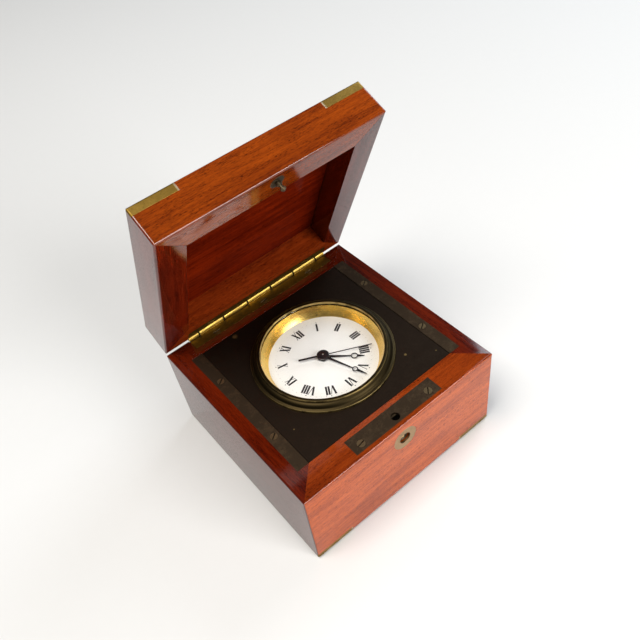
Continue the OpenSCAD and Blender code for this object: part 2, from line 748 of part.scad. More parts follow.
// Moulded case: open below, with a threaded boss for the dial nut and a screw post in each corner
module movement_case() at_clock() color(plastic) difference() {
    union() {
        difference() {
            translate([-case_w / 2, -case_w / 2, case_bottom]) cube([case_w, case_w, case_h]);
            translate([-case_w / 2 + case_wall, -case_w / 2 + case_wall, case_bottom - 1])
                cube([case_w - 2 * case_wall, case_w - 2 * case_wall, case_top - case_bottom - case_wall + 1]);
        }
        translate([0, 0, case_top - case_wall / 2]) cylinder(h = dial_t + nut_t + case_wall / 2, r = boss_r);
        translate([motion_at.x, motion_at.y, motion_z - 0.3])
            cylinder(h = case_top - case_wall / 2 - motion_z + 0.3, r = motion_post_r);
        at_case_corners() cylinder(h = case_top - case_wall / 2 - case_bottom, r = case_post_r);
    }
    cylinder(h = base_h + 5, r = boss_bore_r);
    at_case_corners() translate([0, 0, -1]) cylinder(h = 5, r = cover_screw_r);
}

module at_case_corners()
    for (sx = [-1, 1], sy = [-1, 1]) translate([sx * case_post_at, sy * case_post_at, case_bottom]) children();

module movement_cover() at_clock() color(plastic) {
    difference() {
        translate([-case_w / 2, -case_w / 2, case_bottom - cover_t]) cube([case_w, case_w, cover_t]);
        translate([setting_at.x, setting_at.y, case_bottom - 5]) cylinder(h = 10, r = 1 + running);
        at_case_corners() translate([0, 0, -cover_t - 1]) cylinder(h = 4, r = cover_screw_r);
    }
    tube(1.4, shaft_r + running, case_bottom - eps, case_bottom + 1.2);
    posts = [[third_at, minute_z + pinion_t + 0.3], [step_at, seconds_z + pinion_t + 0.3],
        [rotor_at, rotor_z + pinion_t + 0.3]];
    for (p = posts) translate([p[0].x, p[0].y, case_bottom - eps]) cylinder(h = p[1] - case_bottom, r = post_r);
}

module movement_screws() at_clock() color(steel) at_case_corners() {
    translate([0, 0, -cover_t - 1.2]) cylinder(h = 1.2, r = 1.3);
    translate([0, 0, -cover_t - 0.5]) cylinder(h = cover_t + 3.5, r = cover_screw_r);
}

base_front_wall();
base_back_wall();
base_left_wall();
base_right_wall();
base_floor();
base_felt();
deck_ledges();
base_straps_front();
base_straps_back();
lid_front_rail();
lid_back_rail();
lid_left_rail();
lid_right_rail();
lid_top_panel();
lid_straps_front();
lid_straps_back();
lid_stud();
hinge_base_leaf();
hinge_lid_leaf();
hinge_pin();
hinge_base_screws();
hinge_lid_screws();
lock_plate();
lock_plate_screws();
lock_body();
lock_catch();
catch_spring();
push_button();
escutcheon();
deck_plate();
deck_bar_left();
deck_bar_right();
deck_bar_screws();
bowl();
bowl_cap();
bezel();
crystal();
reflector_ring();
dial();
dial_nut();
hour_hand();
minute_hand();
seconds_hand();
hour_wheel();
motion_wheel();
minute_wheel();
third_wheel();
seconds_wheel();
intermediate_wheel();
rotor();
stator();
coil();
circuit_board();
battery();
battery_contacts();
setting_knob();
movement_case();
movement_cover();
movement_screws();
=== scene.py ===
"""Looks of a boxed deck chronometer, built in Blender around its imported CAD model.

Metres, +Z up. The hinge is on the +Y side and the lid stands open, as it does when the clock is read.
Each sub-assembly is a class that makes its pieces and gives every one its finish and its body.
"""

import logging
import math
from abc import ABC, abstractmethod
from collections.abc import Callable, Sequence
from dataclasses import dataclass, field
from enum import Enum
from functools import cache

import bpy
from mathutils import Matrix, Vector


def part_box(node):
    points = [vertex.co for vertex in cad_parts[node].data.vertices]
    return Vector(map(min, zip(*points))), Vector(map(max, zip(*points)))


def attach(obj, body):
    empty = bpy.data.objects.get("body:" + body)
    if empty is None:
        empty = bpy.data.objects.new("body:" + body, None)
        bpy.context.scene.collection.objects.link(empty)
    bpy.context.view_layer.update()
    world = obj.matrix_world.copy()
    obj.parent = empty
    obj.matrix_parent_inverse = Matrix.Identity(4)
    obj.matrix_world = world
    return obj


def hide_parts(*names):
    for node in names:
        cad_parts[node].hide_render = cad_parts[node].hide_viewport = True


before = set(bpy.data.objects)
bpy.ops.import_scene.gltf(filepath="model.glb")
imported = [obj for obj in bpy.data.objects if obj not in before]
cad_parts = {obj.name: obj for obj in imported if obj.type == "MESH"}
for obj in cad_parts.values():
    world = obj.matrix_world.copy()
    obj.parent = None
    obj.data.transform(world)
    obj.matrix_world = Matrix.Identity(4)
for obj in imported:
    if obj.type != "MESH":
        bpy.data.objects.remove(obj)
bpy.context.view_layer.update()

log = logging.getLogger("chronometer")
MM = 0.001
FULL_TURN = 2 * math.pi
Colour = tuple[float, float, float]


# ---- Shader maths ----


class Value:
    """A number that varies over a surface: a shader socket whose operators add Math nodes."""

    def __init__(self, shader: "Shader", socket: bpy.types.NodeSocket) -> None:
        """Wraps an output socket of a shader."""
        self.shader = shader
        self.socket = socket

    def _math(self, operation: str, *terms: "Value | float", clamp: bool = False) -> "Value":
        """Adds one Math node.

        Args:
            operation: Blender's name of the operation.
            terms: its inputs, in order.
            clamp: whether the result is kept between 0 and 1.

        Returns:
            The node's result.
        """
        settings = {"operation": operation, "use_clamp": clamp}
        node = self.shader.add("ShaderNodeMath", settings, dict(enumerate(terms)))
        return Value(self.shader, node.outputs[0])

    def __add__(self, other: "Value | float") -> "Value":
        """self + other."""
        return self._math("ADD", self, other)

    __radd__ = __add__

    def __sub__(self, other: "Value | float") -> "Value":
        """self - other."""
        return self._math("SUBTRACT", self, other)

    def __rsub__(self, other: float) -> "Value":
        """other - self."""
        return self._math("SUBTRACT", other, self)

    def __mul__(self, other: "Value | float") -> "Value":
        """self * other."""
        return self._math("MULTIPLY", self, other)

    __rmul__ = __mul__

    def __pow__(self, power: float) -> "Value":
        """self ** power."""
        return self._math("POWER", self, power)

    def __abs__(self) -> "Value":
        """abs(self)."""
        return self._math("ABSOLUTE", self)

    def root(self) -> "Value":
        """Square root."""
        return self._math("SQRT", self)

    def sine(self) -> "Value":
        """Sine of an angle in radians."""
        return self._math("SINE", self)

    def most(self, other: "Value | float") -> "Value":
        """The larger of two values."""
        return self._math("MAXIMUM", self, other)

    def step(self, low: float, high: float) -> "Value":
        """Smooth step from 0 at low to 1 at high.

        Args:
            low: where the step starts.
            high: where it ends, below low for a falling step.

        Returns:
            The step's value.
        """
        rising = high > low
        limits = {"From Min": min(low, high), "From Max": max(low, high)}
        ends = {"To Min": 0.0 if rising else 1.0, "To Max": 1.0 if rising else 0.0}
        node = self.shader.add(
            "ShaderNodeMapRange", {"interpolation_type": "SMOOTHSTEP"}, {"Value": self, **limits, **ends}
        )
        return Value(self.shader, node.outputs[0])


class Shader:
    """One material and the nodes that make it."""

    def __init__(self, name: str) -> None:
        """Starts a material with an empty Principled shader."""
        self.material = bpy.data.materials.new(name)
        self.material.use_nodes = True
        self.tree = self.material.node_tree
        self.surface = self.tree.nodes["Principled BSDF"]
        self.place = self.add("ShaderNodeTexCoord").outputs["Object"]

    def add(self, kind: str, settings: dict | None = None, inputs: dict | None = None) -> bpy.types.Node:
        """Adds a node.

        Args:
            kind: the node's type.
            settings: its properties, set first.
            inputs: values or links of its sockets, by name or number.

        Returns:
            The new node.
        """
        node = self.tree.nodes.new(kind)
        for key, value in (settings or {}).items():
            setattr(node, key, value)
        for key, value in (inputs or {}).items():
            self.feed(node.inputs[key], value)
        return node

    def feed(self, socket: bpy.types.NodeSocket, value: object) -> None:
        """Links a value to a socket, or sets the socket to a plain number or colour."""
        if isinstance(value, Value):
            value = value.socket
        if isinstance(value, bpy.types.NodeSocket):
            self.tree.links.new(value, socket)
        elif socket.type == "RGBA" and len(value) == 3:
            socket.default_value = (*value, 1.0)
        else:
            socket.default_value = value

    def stretched(
        self, scale: Sequence[float], turn: Sequence[float] = (0, 0, 0), shift: Sequence[float] = (0, 0, 0)
    ) -> bpy.types.NodeSocket:
        """Object coordinates, turned first and then scaled per axis.

        Args:
            scale: repeats per metre along each axis.
            turn: rotation in radians.
            shift: where the pattern starts, in metres.

        Returns:
            The coordinates' socket.
        """
        placing = {"Vector": self.place, "Rotation": turn, "Location": shift}
        turned = self.add("ShaderNodeMapping", None, placing)
        scaled = self.add("ShaderNodeMapping", None, {"Vector": turned.outputs[0], "Scale": scale})
        return scaled.outputs[0]

    def noise(self, at: bpy.types.NodeSocket, detail: float = 2.0, rough: float = 0.5) -> Value:
        """Noise texture at given coordinates."""
        inputs = {"Vector": at, "Scale": 1.0, "Detail": detail, "Roughness": rough}
        return Value(self, self.add("ShaderNodeTexNoise", None, inputs).outputs["Fac"])

    def parts(self, at: bpy.types.NodeSocket) -> tuple[Value, Value, Value]:
        """The X, Y and Z values of a vector."""
        node = self.add("ShaderNodeSeparateXYZ", None, {0: at})
        return tuple(Value(self, output) for output in node.outputs)

    def vector(self, x: Value | float, y: Value | float, z: Value | float) -> bpy.types.NodeSocket:
        """A vector from three values."""
        return self.add("ShaderNodeCombineXYZ", None, {0: x, 1: y, 2: z}).outputs[0]

    def mix(self, amount: Value, first: object, second: object, how: str = "MIX") -> bpy.types.NodeSocket:
        """Mixes two colours.

        Args:
            amount: 0 for the first and 1 for the second.
            first: colour or socket.
            second: colour or socket.
            how: blend type.

        Returns:
            The mixed colour's socket.
        """
        settings = {"data_type": "RGBA", "blend_type": how, "clamp_factor": True}
        return self.add("ShaderNodeMix", settings, {0: amount, 6: first, 7: second}).outputs[2]

    def bump(self, height: Value, depth: float, strength: float = 1.0) -> None:
        """Feeds the normal from a height of 0 to 1 that stands for depth metres."""
        node = self.add("ShaderNodeBump", None, {"Height": height, "Distance": depth, "Strength": strength})
        self.feed(self.surface.inputs["Normal"], node.outputs[0])

    def set(self, **sockets: object) -> None:
        """Sets or links the shader's own sockets, an underscore standing for a space."""
        for name, value in sockets.items():
            self.feed(self.surface.inputs[name.replace("_", " ")], value)


# ---- Finishes ----


class Grain(Enum):
    """Which way a board's grain runs, as the turn about Z that brings it to X."""

    ACROSS = 0.0
    BACKWARDS = math.pi / 2


@dataclass(frozen=True)
class Finish(ABC):
    """A surface finish."""

    name: str

    @abstractmethod
    def paint(self, shader: Shader) -> None:
        """Builds the finish's nodes."""

    @cache
    def material(self) -> bpy.types.Material:
        """The finish's material, made once."""
        shader = Shader(self.name)
        self.paint(shader)
        return shader.material


@dataclass(frozen=True)
class Wood(Finish):
    """French-polished reddish hardwood with open pores.

    If it has a rim height, the wood above it is darkened: a painted shade on the rim's top.
    """

    grain: Grain = Grain.ACROSS
    tilt: float = 0.0
    seed: float = 0.0
    deep: Colour = (0.055, 0.0030, 0.0008)
    warm: Colour = (0.200, 0.0150, 0.0018)
    pore_colour: Colour = (0.010, 0.0014, 0.0006)
    polish: float = 1.0
    gloss: float = 1.6
    rim: float | None = None
    rim_shade_tint: Colour = (0.48, 0.40, 0.42)
    pore_depth: float = 0.05 * MM

    def paint(self, shader: Shader) -> None:
        """Ribbon figure, fibres, dark pores and a thin polish."""
        turn = (self.tilt, 0.0, self.grain.value)
        shift = (self.seed, self.seed * 0.7, self.seed * 0.4)
        figure = shader.noise(shader.stretched((10, 90, 90), turn, shift), 2.0)
        ribbon = shader.noise(shader.stretched((30, 420, 420), turn, shift), 3.0, 0.6)
        fibre = shader.noise(shader.stretched((110, 1900, 1900), turn, shift), 2.0, 0.7)
        pore = shader.noise(shader.stretched((480, 4000, 4000), turn, shift), 2.0, 0.55)
        cloud = shader.noise(shader.stretched((30, 30, 30), turn, shift), 2.0)
        tone = (figure * 0.8 + ribbon * 0.7 + fibre * 1.0 + cloud * 0.5 - 1.0).step(0.0, 1.0)
        flecks = pore.step(0.52, 0.61) * (0.35 + ribbon.step(0.64, 0.36) * 0.65)
        colour = shader.mix(tone, self.deep, self.warm)
        colour = shader.mix(flecks * 0.72, colour, self.pore_colour)
        if self.rim:
            # painted shade: the rim's top is darkened above the rim height
            _, _, z = shader.parts(shader.place)
            painted_rim_shade = z.step(self.rim - 0.5 * MM, self.rim - 0.1 * MM)
            colour = shader.mix(painted_rim_shade, colour, self.rim_shade_tint, "MULTIPLY")
        shader.set(Base_Color=colour, Roughness=0.42 + fibre * 0.16 + flecks * 0.2 - tone * 0.05)
        shader.set(Coat_Weight=self.polish * (1.0 - flecks * 0.35), Coat_Roughness=0.09, Coat_IOR=self.gloss)
        shader.set(Specular_IOR_Level=0.0)
        shader.bump(fibre * 0.3 + ribbon * 0.15 - flecks * 0.8, self.pore_depth, 0.45)


@dataclass(frozen=True)
class Metal(Finish):
    """Worked metal with patina clouds, specks and fine scratches.

    It may have worn spots, as (x, y, radius); a brighter rod along X, as (y, z, radius), partly rubbed brass
    and partly painted sheen, with painted shade in its gaps at even places; painted shade in the hollows just
    below its top; and a pale border at its ends nearest the middle.
    """

    bright: Colour = (0.80, 0.58, 0.22)
    dull: Colour = (0.30, 0.22, 0.10)
    patina: float = 0.5
    rough: float = 0.28
    scratch: Sequence[float] = (60, 2600, 2600)
    spots: tuple[tuple[float, float, float], ...] = ()
    worn: Colour = (0.50, 0.36, 0.16)
    rod: tuple[float, float, float] | None = None
    rod_wear_and_sheen_colour: Colour = (0.66, 0.45, 0.10)
    gap_start: float = 0.0
    gap_pitch: float = 1.0
    gap_shade_colour: Colour = (0.012, 0.008, 0.003)
    top: float | None = None
    hollow_shade_colour: Colour = (0.010, 0.008, 0.006)
    pale_inside: float | None = None
    pale_colour: Colour = (0.50, 0.40, 0.26)

    def paint(self, shader: Shader) -> None:
        """Brushed ground under clouds and specks of patina."""
        x, y, z = shader.parts(shader.place)
        cloud = shader.noise(shader.stretched((160, 160, 160)), 4.0, 0.62)
        speck = shader.noise(shader.stretched((1100, 1100, 1100)), 3.0, 0.6)
        brush = shader.noise(shader.stretched(self.scratch), 3.0, 0.65)
        low = 1.0 - self.patina
        tarnish = (cloud * 0.75 + speck * 0.25).step(low - 0.16, low + 0.14)
        pits = speck.step(0.66, 0.74)
        colour = shader.mix(tarnish, self.bright, self.dull)
        colour = shader.mix(pits * 0.55, colour, tuple(c * 0.35 for c in self.dull))
        rough = self.rough + tarnish * 0.16 + brush * 0.10 + pits * 0.2
        if self.spots:
            wear = None
            for centre_x, centre_y, radius in self.spots:
                away = ((x - centre_x) * (x - centre_x) + (y - centre_y) * (y - centre_y)).root()
                spot = (away + (cloud - 0.5) * radius * 1.6).step(radius, radius * 0.25)
                wear = spot if wear is None else wear.most(spot)
            colour = shader.mix(wear * 0.8, colour, self.worn)
        if self.rod:
            rod_y, rod_z, reach = self.rod
            away = ((y - rod_y) * (y - rod_y) + (z - rod_z) * (z - rod_z)).root()
            on_rod = away.step(reach + 0.1 * MM, reach)
            # partly rubbed brass, partly a painted sheen: the whole barrel is brightened to stand for its
            # broad highlight
            colour = shader.mix(on_rod * (0.70 + cloud * 0.3), colour, self.rod_wear_and_sheen_colour)
            # painted shade: dark lines where shade falls in the gaps between the knuckles
            gap = abs(((x - self.gap_start) * (math.pi / self.gap_pitch)).sine()).step(0.125, 0.090)
            colour = shader.mix(gap * on_rod * 0.95, colour, self.gap_shade_colour)
            rough = rough + on_rod * 0.02
        if self.top:
            # painted shade: near black in the hollows more than a little below the top
            hollow = z.step(self.top - 0.05 * MM, self.top - 0.14 * MM)
            colour = shader.mix(hollow * 0.9, colour, self.hollow_shade_colour)
        if self.pale_inside:
            near = abs(x).step(self.pale_inside + 1.0 * MM, self.pale_inside + 0.7 * MM)
            colour = shader.mix(near * 0.8, colour, self.pale_colour)
        shader.set(Base_Color=colour, Roughness=rough, Metallic=1.0)
        shader.bump(brush * 0.5 - pits * 0.8 + cloud * 0.2, 0.03 * MM, 0.6)


@dataclass(frozen=True)
class Turned(Finish):
    """Lathe-turned metal: fine rings, with bright bands on its edges, partly worn brass and partly painted
    highlight.
    """

    centre_y: float = 0.0
    bright: Colour = (0.80, 0.58, 0.22)
    dull: Colour = (0.055, 0.042, 0.020)
    patina: float = 0.9
    rough: float = 0.26
    wear_and_highlight_bands: tuple[tuple[float, float, float], ...] = ()
    ring_pitch: float = 2600.0

    def paint(self, shader: Shader) -> None:
        """Rings about the upright axis, clouds of patina and bright bands, partly wear and partly painted
        highlight.
        """
        at = shader.stretched((1, 1, 1), shift=(0, -self.centre_y, 0))
        x, y, z = shader.parts(at)
        radius = (x * x + y * y).root()
        rings = shader.noise(shader.vector(radius * self.ring_pitch, 0.0, z * self.ring_pitch), 3.0, 0.7)
        cloud = shader.noise(shader.stretched((130, 130, 130)), 4.0, 0.62)
        speck = shader.noise(shader.stretched((1300, 1300, 1300)), 2.0, 0.6)
        low = 1.0 - self.patina
        tarnish = (cloud * 0.7 + rings * 0.3).step(low - 0.14, low + 0.14)
        colour = shader.mix(tarnish, self.bright, self.dull)
        colour = shader.mix(speck.step(0.64, 0.74) * 0.4, colour, tuple(c * 0.4 for c in self.dull))
        # each band is partly worn brass and partly a painted highlight
        for band_radius, width, strength in self.wear_and_highlight_bands:
            near = abs(radius - band_radius).step(width, width * 0.3) * cloud.step(0.30, 0.55)
            colour = shader.mix(near * strength, colour, self.bright)
        shader.set(Base_Color=colour, Roughness=self.rough + rings * 0.12 + cloud * 0.08, Metallic=1.0)
        shader.bump(rings, 0.012 * MM, 0.5)


@dataclass(frozen=True)
class Enamel(Finish):
    """Hard smooth paint over metal, very slightly uneven."""

    colour: Colour = (0.90, 0.89, 0.85)
    second: Colour = (0.86, 0.85, 0.81)
    rough: float = 0.38
    coat: float = 0.25

    def paint(self, shader: Shader) -> None:
        """Fine tooth with faint clouds."""
        cloud = shader.noise(shader.stretched((70, 70, 70)), 3.0)
        tooth = shader.noise(shader.stretched((5200, 5200, 5200)), 2.0)
        colour = shader.mix(cloud.step(0.35, 0.75), self.colour, self.second)
        shader.set(Base_Color=colour, Roughness=self.rough + tooth * 0.12, Coat_Weight=self.coat)
        shader.set(Coat_Roughness=0.12)
        shader.bump(tooth, 0.006 * MM, 0.5)


@dataclass(frozen=True)
class Crystal(Finish):
    """Thin clear glass: a mirror as weak as glass's own reflection, with faint wipe marks."""

    def paint(self, shader: Shader) -> None:
        """A reflection that grows towards grazing angles, the same from above and from below."""
        grazing = Value(shader, shader.add("ShaderNodeLayerWeight", None, {"Blend": 0.5}).outputs["Facing"])
        haze = shader.noise(shader.stretched((90, 420, 90)), 3.0)
        shader.set(Base_Color=(0.95, 0.98, 1.0), Metallic=1.0, Roughness=0.03 + haze * 0.04)
        shader.set(Alpha=grazing ** 5.0 * 0.7 + 0.012 + haze * 0.012)


@dataclass(frozen=True)
class Cloth(Finish):
    """Short woolly felt."""

    colour: Colour = (0.020, 0.075, 0.045)

    def paint(self, shader: Shader) -> None:
        """Matted fibres."""
        fibre = shader.noise(shader.stretched((2600, 900, 2600)), 4.0, 0.75)
        colour = shader.mix(fibre.step(0.3, 0.7), tuple(c * 0.5 for c in self.colour), self.colour)
        shader.set(Base_Color=colour, Roughness=0.95, Sheen_Weight=0.4, Sheen_Roughness=0.6)
        shader.bump(fibre, 0.2 * MM, 0.9)


@dataclass(frozen=True)
class Moulded(Finish):
    """Moulded plastic or card with a fine spark-eroded texture."""

    colour: Colour = (0.03, 0.03, 0.035)
    rough: float = 0.5
    shade: float = 0.75

    def paint(self, shader: Shader) -> None:
        """Even colour with a fine texture."""
        grit = shader.noise(shader.stretched((3000, 3000, 3000)), 2.0)
        cloud = shader.noise(shader.stretched((150, 150, 150)), 2.0)
        colour = shader.mix(cloud, self.colour, tuple(c * self.shade for c in self.colour))
        shader.set(Base_Color=colour, Roughness=self.rough + grit * 0.15)
        shader.bump(grit, 0.02 * MM, 0.6)


@dataclass(frozen=True)
class Winding(Finish):
    """Varnished copper wire laid turn by turn along X."""

    pitch: float = 0.12 * MM

    def paint(self, shader: Shader) -> None:
        """Fine turns across the axis."""
        x, _, _ = shader.parts(shader.place)
        wave = (x * (FULL_TURN / self.pitch)).sine() * 0.5 + 0.5
        colour = shader.mix(wave, (0.16, 0.04, 0.015), (0.55, 0.20, 0.07))
        shader.set(Base_Color=colour, Roughness=0.35, Metallic=0.8, Coat_Weight=0.5)
        shader.bump(wave, 0.04 * MM, 0.8)


# ---- Modelling ----


class Bench:
    """Models pieces with Blender's own operators, each left with its place in its mesh."""

    @staticmethod
    def clear() -> None:
        """Leaves edit mode and deselects everything."""
        if bpy.context.object and bpy.context.object.mode != "OBJECT":
            bpy.ops.object.mode_set(mode="OBJECT")
        bpy.ops.object.select_all(action="DESELECT")

    @staticmethod
    def only(piece: bpy.types.Object) -> None:
        """Selects one piece and makes it active."""
        Bench.clear()
        piece.select_set(True)
        bpy.context.view_layer.objects.active = piece

    @staticmethod
    def settle(piece: bpy.types.Object) -> None:
        """Moves a piece's place, turn and size into its mesh."""
        Bench.only(piece)
        bpy.ops.object.transform_apply(location=True, rotation=True, scale=True)

    @staticmethod
    def pick(piece: bpy.types.Object, wanted: Callable[[Vector], bool]) -> None:
        """Selects, in edit mode, the vertices whose place passes a test."""
        bpy.ops.mesh.select_all(action="DESELECT")
        bpy.ops.object.mode_set(mode="OBJECT")
        for vertex in piece.data.vertices:
            vertex.select = wanted(vertex.co)
        bpy.ops.object.mode_set(mode="EDIT")

    @staticmethod
    def soften(piece: bpy.types.Object, edge: float, segments: int = 2, angle: float = 32.0) -> None:
        """Shades a piece smooth by angle and rounds its sharp edges.

        Args:
            piece: the piece.
            edge: width of the rounding in metres.
            segments: steps across it.
            angle: sharpest angle in degrees that stays as it is.
        """
        Bench.only(piece)
        bpy.ops.object.shade_smooth_by_angle(angle=math.radians(angle))
        bevel = piece.modifiers.new("edges", "BEVEL")
        bevel.width = edge
        bevel.segments = segments
        bevel.limit_method = "ANGLE"
        bevel.angle_limit = math.radians(angle)
        bevel.harden_normals = True
        bpy.ops.object.modifier_apply(modifier=bevel.name)

    @staticmethod
    def dressed(node: str, edge: float = 0.15 * MM, segments: int = 2) -> bpy.types.Object:
        """Copies a CAD node, joins its loose triangles into whole faces and rounds its edges.

        Args:
            node: the CAD node.
            edge: width of the rounding in metres.
            segments: steps across it.

        Returns:
            The new piece.
        """
        piece = bpy.data.objects.new(f"{node}.finished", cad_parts[node].data.copy())
        bpy.context.scene.collection.objects.link(piece)
        Bench.only(piece)
        bpy.ops.mesh.customdata_custom_splitnormals_clear()
        bpy.ops.object.mode_set(mode="EDIT")
        bpy.ops.mesh.select_all(action="SELECT")
        bpy.ops.mesh.remove_doubles(threshold=1e-6)
        bpy.ops.mesh.dissolve_limited(angle_limit=math.radians(0.4))
        Bench.clear()
        Bench.soften(piece, edge, segments)
        return piece

    @staticmethod
    def turned(
        name: str, profile: Sequence[tuple[float, float]], centre: Vector, steps: int = 144
    ) -> bpy.types.Object:
        """Spins a closed profile about an upright axis.

        Args:
            name: the piece's name.
            profile: radius and height of each corner, in metres.
            centre: a point on the axis, at height 0 of the profile.
            steps: faces around the axis.

        Returns:
            The new piece.
        """
        Bench.clear()
        start = centre + Vector((profile[0][0], 0, profile[0][1]))
        bpy.ops.mesh.primitive_plane_add(size=MM, location=start)
        piece = bpy.context.object
        piece.name = piece.data.name = name
        Bench.settle(piece)
        bpy.ops.object.mode_set(mode="EDIT")
        bpy.ops.mesh.select_mode(type="VERT")
        bpy.ops.mesh.select_all(action="SELECT")
        bpy.ops.mesh.merge(type="CENTER")
        for here, there in zip(profile, [*profile[1:], profile[0]]):
            move = (there[0] - here[0], 0, there[1] - here[1])
            bpy.ops.mesh.extrude_region_move(TRANSFORM_OT_translate={"value": move})
        bpy.ops.mesh.select_all(action="SELECT")
        bpy.ops.mesh.remove_doubles(threshold=1e-7)
        bpy.ops.mesh.spin(steps=steps, angle=FULL_TURN, center=centre, axis=(0, 0, 1))
        bpy.ops.mesh.select_all(action="SELECT")
        bpy.ops.mesh.remove_doubles(threshold=1e-6)
        bpy.ops.mesh.normals_make_consistent(inside=False)
        Bench.clear()
        return piece

    @staticmethod
    def bar(width: float, height: float, lean: float, thickness: float) -> bpy.types.Object:
        """A flat stroke that stands on the origin.

        Args:
            width: across the stroke.
            height: along Y.
            lean: how far its top is moved along X.
            thickness: along Z.

        Returns:
            The new stroke.
        """
        Bench.clear()
        bpy.ops.mesh.primitive_plane_add(size=1)
        piece = bpy.context.object
        piece.scale = (width, height, 1)
        Bench.settle(piece)
        bpy.ops.object.mode_set(mode="EDIT")
        Bench.pick(piece, lambda place: place.y > 0)
        bpy.ops.transform.translate(value=(lean / 2, 0, 0))
        Bench.pick(piece, lambda place: place.y < 0)
        bpy.ops.transform.translate(value=(-lean / 2, 0, 0))
        bpy.ops.mesh.select_all(action="SELECT")
        bpy.ops.mesh.extrude_region_move(TRANSFORM_OT_translate={"value": (0, 0, thickness)})
        bpy.ops.mesh.select_all(action="SELECT")
        bpy.ops.mesh.normals_make_consistent(inside=False)
        Bench.clear()
        return piece

    @staticmethod
    def copied(piece: bpy.types.Object) -> bpy.types.Object:
        """A copy of a piece with its own mesh."""
        twin = piece.copy()
        twin.data = piece.data.copy()
        bpy.context.scene.collection.objects.link(twin)
        return twin

    @staticmethod
    def joined(pieces: Sequence[bpy.types.Object], name: str) -> bpy.types.Object:
        """Joins pieces into one.

        Args:
            pieces: the pieces, settled or not.
            name: the joined piece's name.

        Returns:
            The joined piece, its place in its mesh.
        """
        Bench.only(pieces[0])
        for piece in pieces:
            piece.select_set(True)
        bpy.ops.object.join()
        whole = bpy.context.object
        whole.name = whole.data.name = name
        Bench.settle(whole)
        return whole


@dataclass
class SubAssembly(ABC):
    """A group of pieces, most of which move with one body."""

    body: str = "case"

    @abstractmethod
    def build(self) -> None:
        """Makes the pieces and dresses them."""

    def fit(
        self, piece: bpy.types.Object, slot: str, finish: Finish, *nodes: str, body: str | None = None
    ) -> None:
        """Gives a new piece its finish and its body.

        Args:
            piece: the finished piece.
            slot: the name of a material slot; not used.
            finish: its finish.
            nodes: the CAD nodes it stands for.
            body: the body it rides on, if not the sub-assembly's own.
        """
        piece.data.materials.clear()
        piece.data.materials.append(finish.material())
        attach(piece, body or self.body)
        if nodes:
            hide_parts(*nodes)
        log.info("%s: %d faces, rides on %s", piece.name, len(piece.data.polygons), body or self.body)

    def dress(
        self, node: str, slot: str, finish: Finish, edge: float = 0.15 * MM, body: str | None = None
    ) -> None:
        """Replaces a CAD node with a copy that has rounded edges and a finish."""
        self.fit(Bench.dressed(node, edge), slot, finish, node, body=body)

    def coat(self, finish: Finish, *nodes: str) -> None:
        """Gives CAD nodes, left as they are, a finish."""
        for node in nodes:
            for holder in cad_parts[node].material_slots:
                holder.material = finish.material()
            log.info("%s: CAD shape with finish %s", node, finish.name)


# ---- The clock's box ----

BOARDS = {
    "front": Grain.ACROSS, "back": Grain.ACROSS, "left": Grain.BACKWARDS, "right": Grain.BACKWARDS,
}


@dataclass
class Case(SubAssembly):
    """The lower box: four mitred walls, its floor, its felt and its corner straps."""

    seam: float = 0.14 * MM

    def build(self) -> None:
        """Dresses every wall, with the grain along each board."""
        for number, (side, grain) in enumerate(BOARDS.items()):
            # painted light: the front wall's lighter tones stand for light falling on it, with painted shade
            # on its rim's top
            tones = LIT_AND_SHADED_FRONT_WOOD if side == "front" else DARK_AND_SHADED_WOOD
            wood = Wood(f"case_wood_{side}", grain, seed=0.31 + 0.17 * number, **tones)
            self.dress(f"base_{side}_wall", "case_wood", wood, self.seam)
        inner = Wood("inner_wood", Grain.ACROSS, seed=1.9, warm=(0.33, 0.13, 0.06), polish=0.1, gloss=1.5)
        self.coat(inner, "base_floor", "deck_ledges")
        self.dress("base_felt", "felt", Cloth("green_felt"), 0.3 * MM)
        for end in ("front", "back"):
            self.dress(f"base_straps_{end}", "strap_brass", STRAP_BRASS, 0.1 * MM)


@dataclass
class Lid(SubAssembly):
    """The lid: four mitred rails, its panel, its corner straps and the stud that the lock holds."""

    body: str = "lid"
    seam: float = 0.14 * MM
    open_angle: float = math.radians(65.3)

    def build(self) -> None:
        """Dresses the rails and the panel, their grain turned with the open lid."""
        for number, (side, grain) in enumerate(BOARDS.items()):
            # painted light and shade: the front rail's lighter tones stand for light falling on it, the right
            # rail's darker ones for shade
            tones = {"front": LIT_FRONT_RAIL_WOOD, "back": LIT_WOOD, "right": DARK_AND_SHADED_WOOD}.get(side, {})
            wood = Wood(f"lid_wood_{side}", grain, tilt=self.open_angle, seed=2.23 + 0.19 * number, **tones)
            self.dress(f"lid_{side}_rail", "lid_wood", wood, self.seam)
        panel = Wood("lid_panel_wood", Grain.ACROSS, tilt=self.open_angle, seed=4.4, polish=0.05)
        self.dress("lid_top_panel", "lid_wood", panel, self.seam)
        for end in ("front", "back"):
            self.dress(f"lid_straps_{end}", "strap_brass", STRAP_BRASS, 0.35 * MM)
        self.dress("lid_stud", "dark_brass", DARK_BRASS, 0.12 * MM)


@dataclass
class Hinge(SubAssembly):
    """The long brass hinge with its pin and screws."""

    def build(self) -> None:
        """Dresses both leaves and their screws."""
        self.dress("hinge_base_leaf", "hinge_brass", HINGE_BRASS, 0.25 * MM)
        self.dress("hinge_lid_leaf", "hinge_brass", HINGE_BRASS, 0.25 * MM, body="lid")
        self.dress("hinge_base_screws", "dark_brass", SCREW_BRASS, 0.14 * MM)
        self.dress("hinge_lid_screws", "dark_brass", HINGE_BRASS, 0.14 * MM, body="lid")
        self.coat(OLD_GREASE, "hinge_pin")


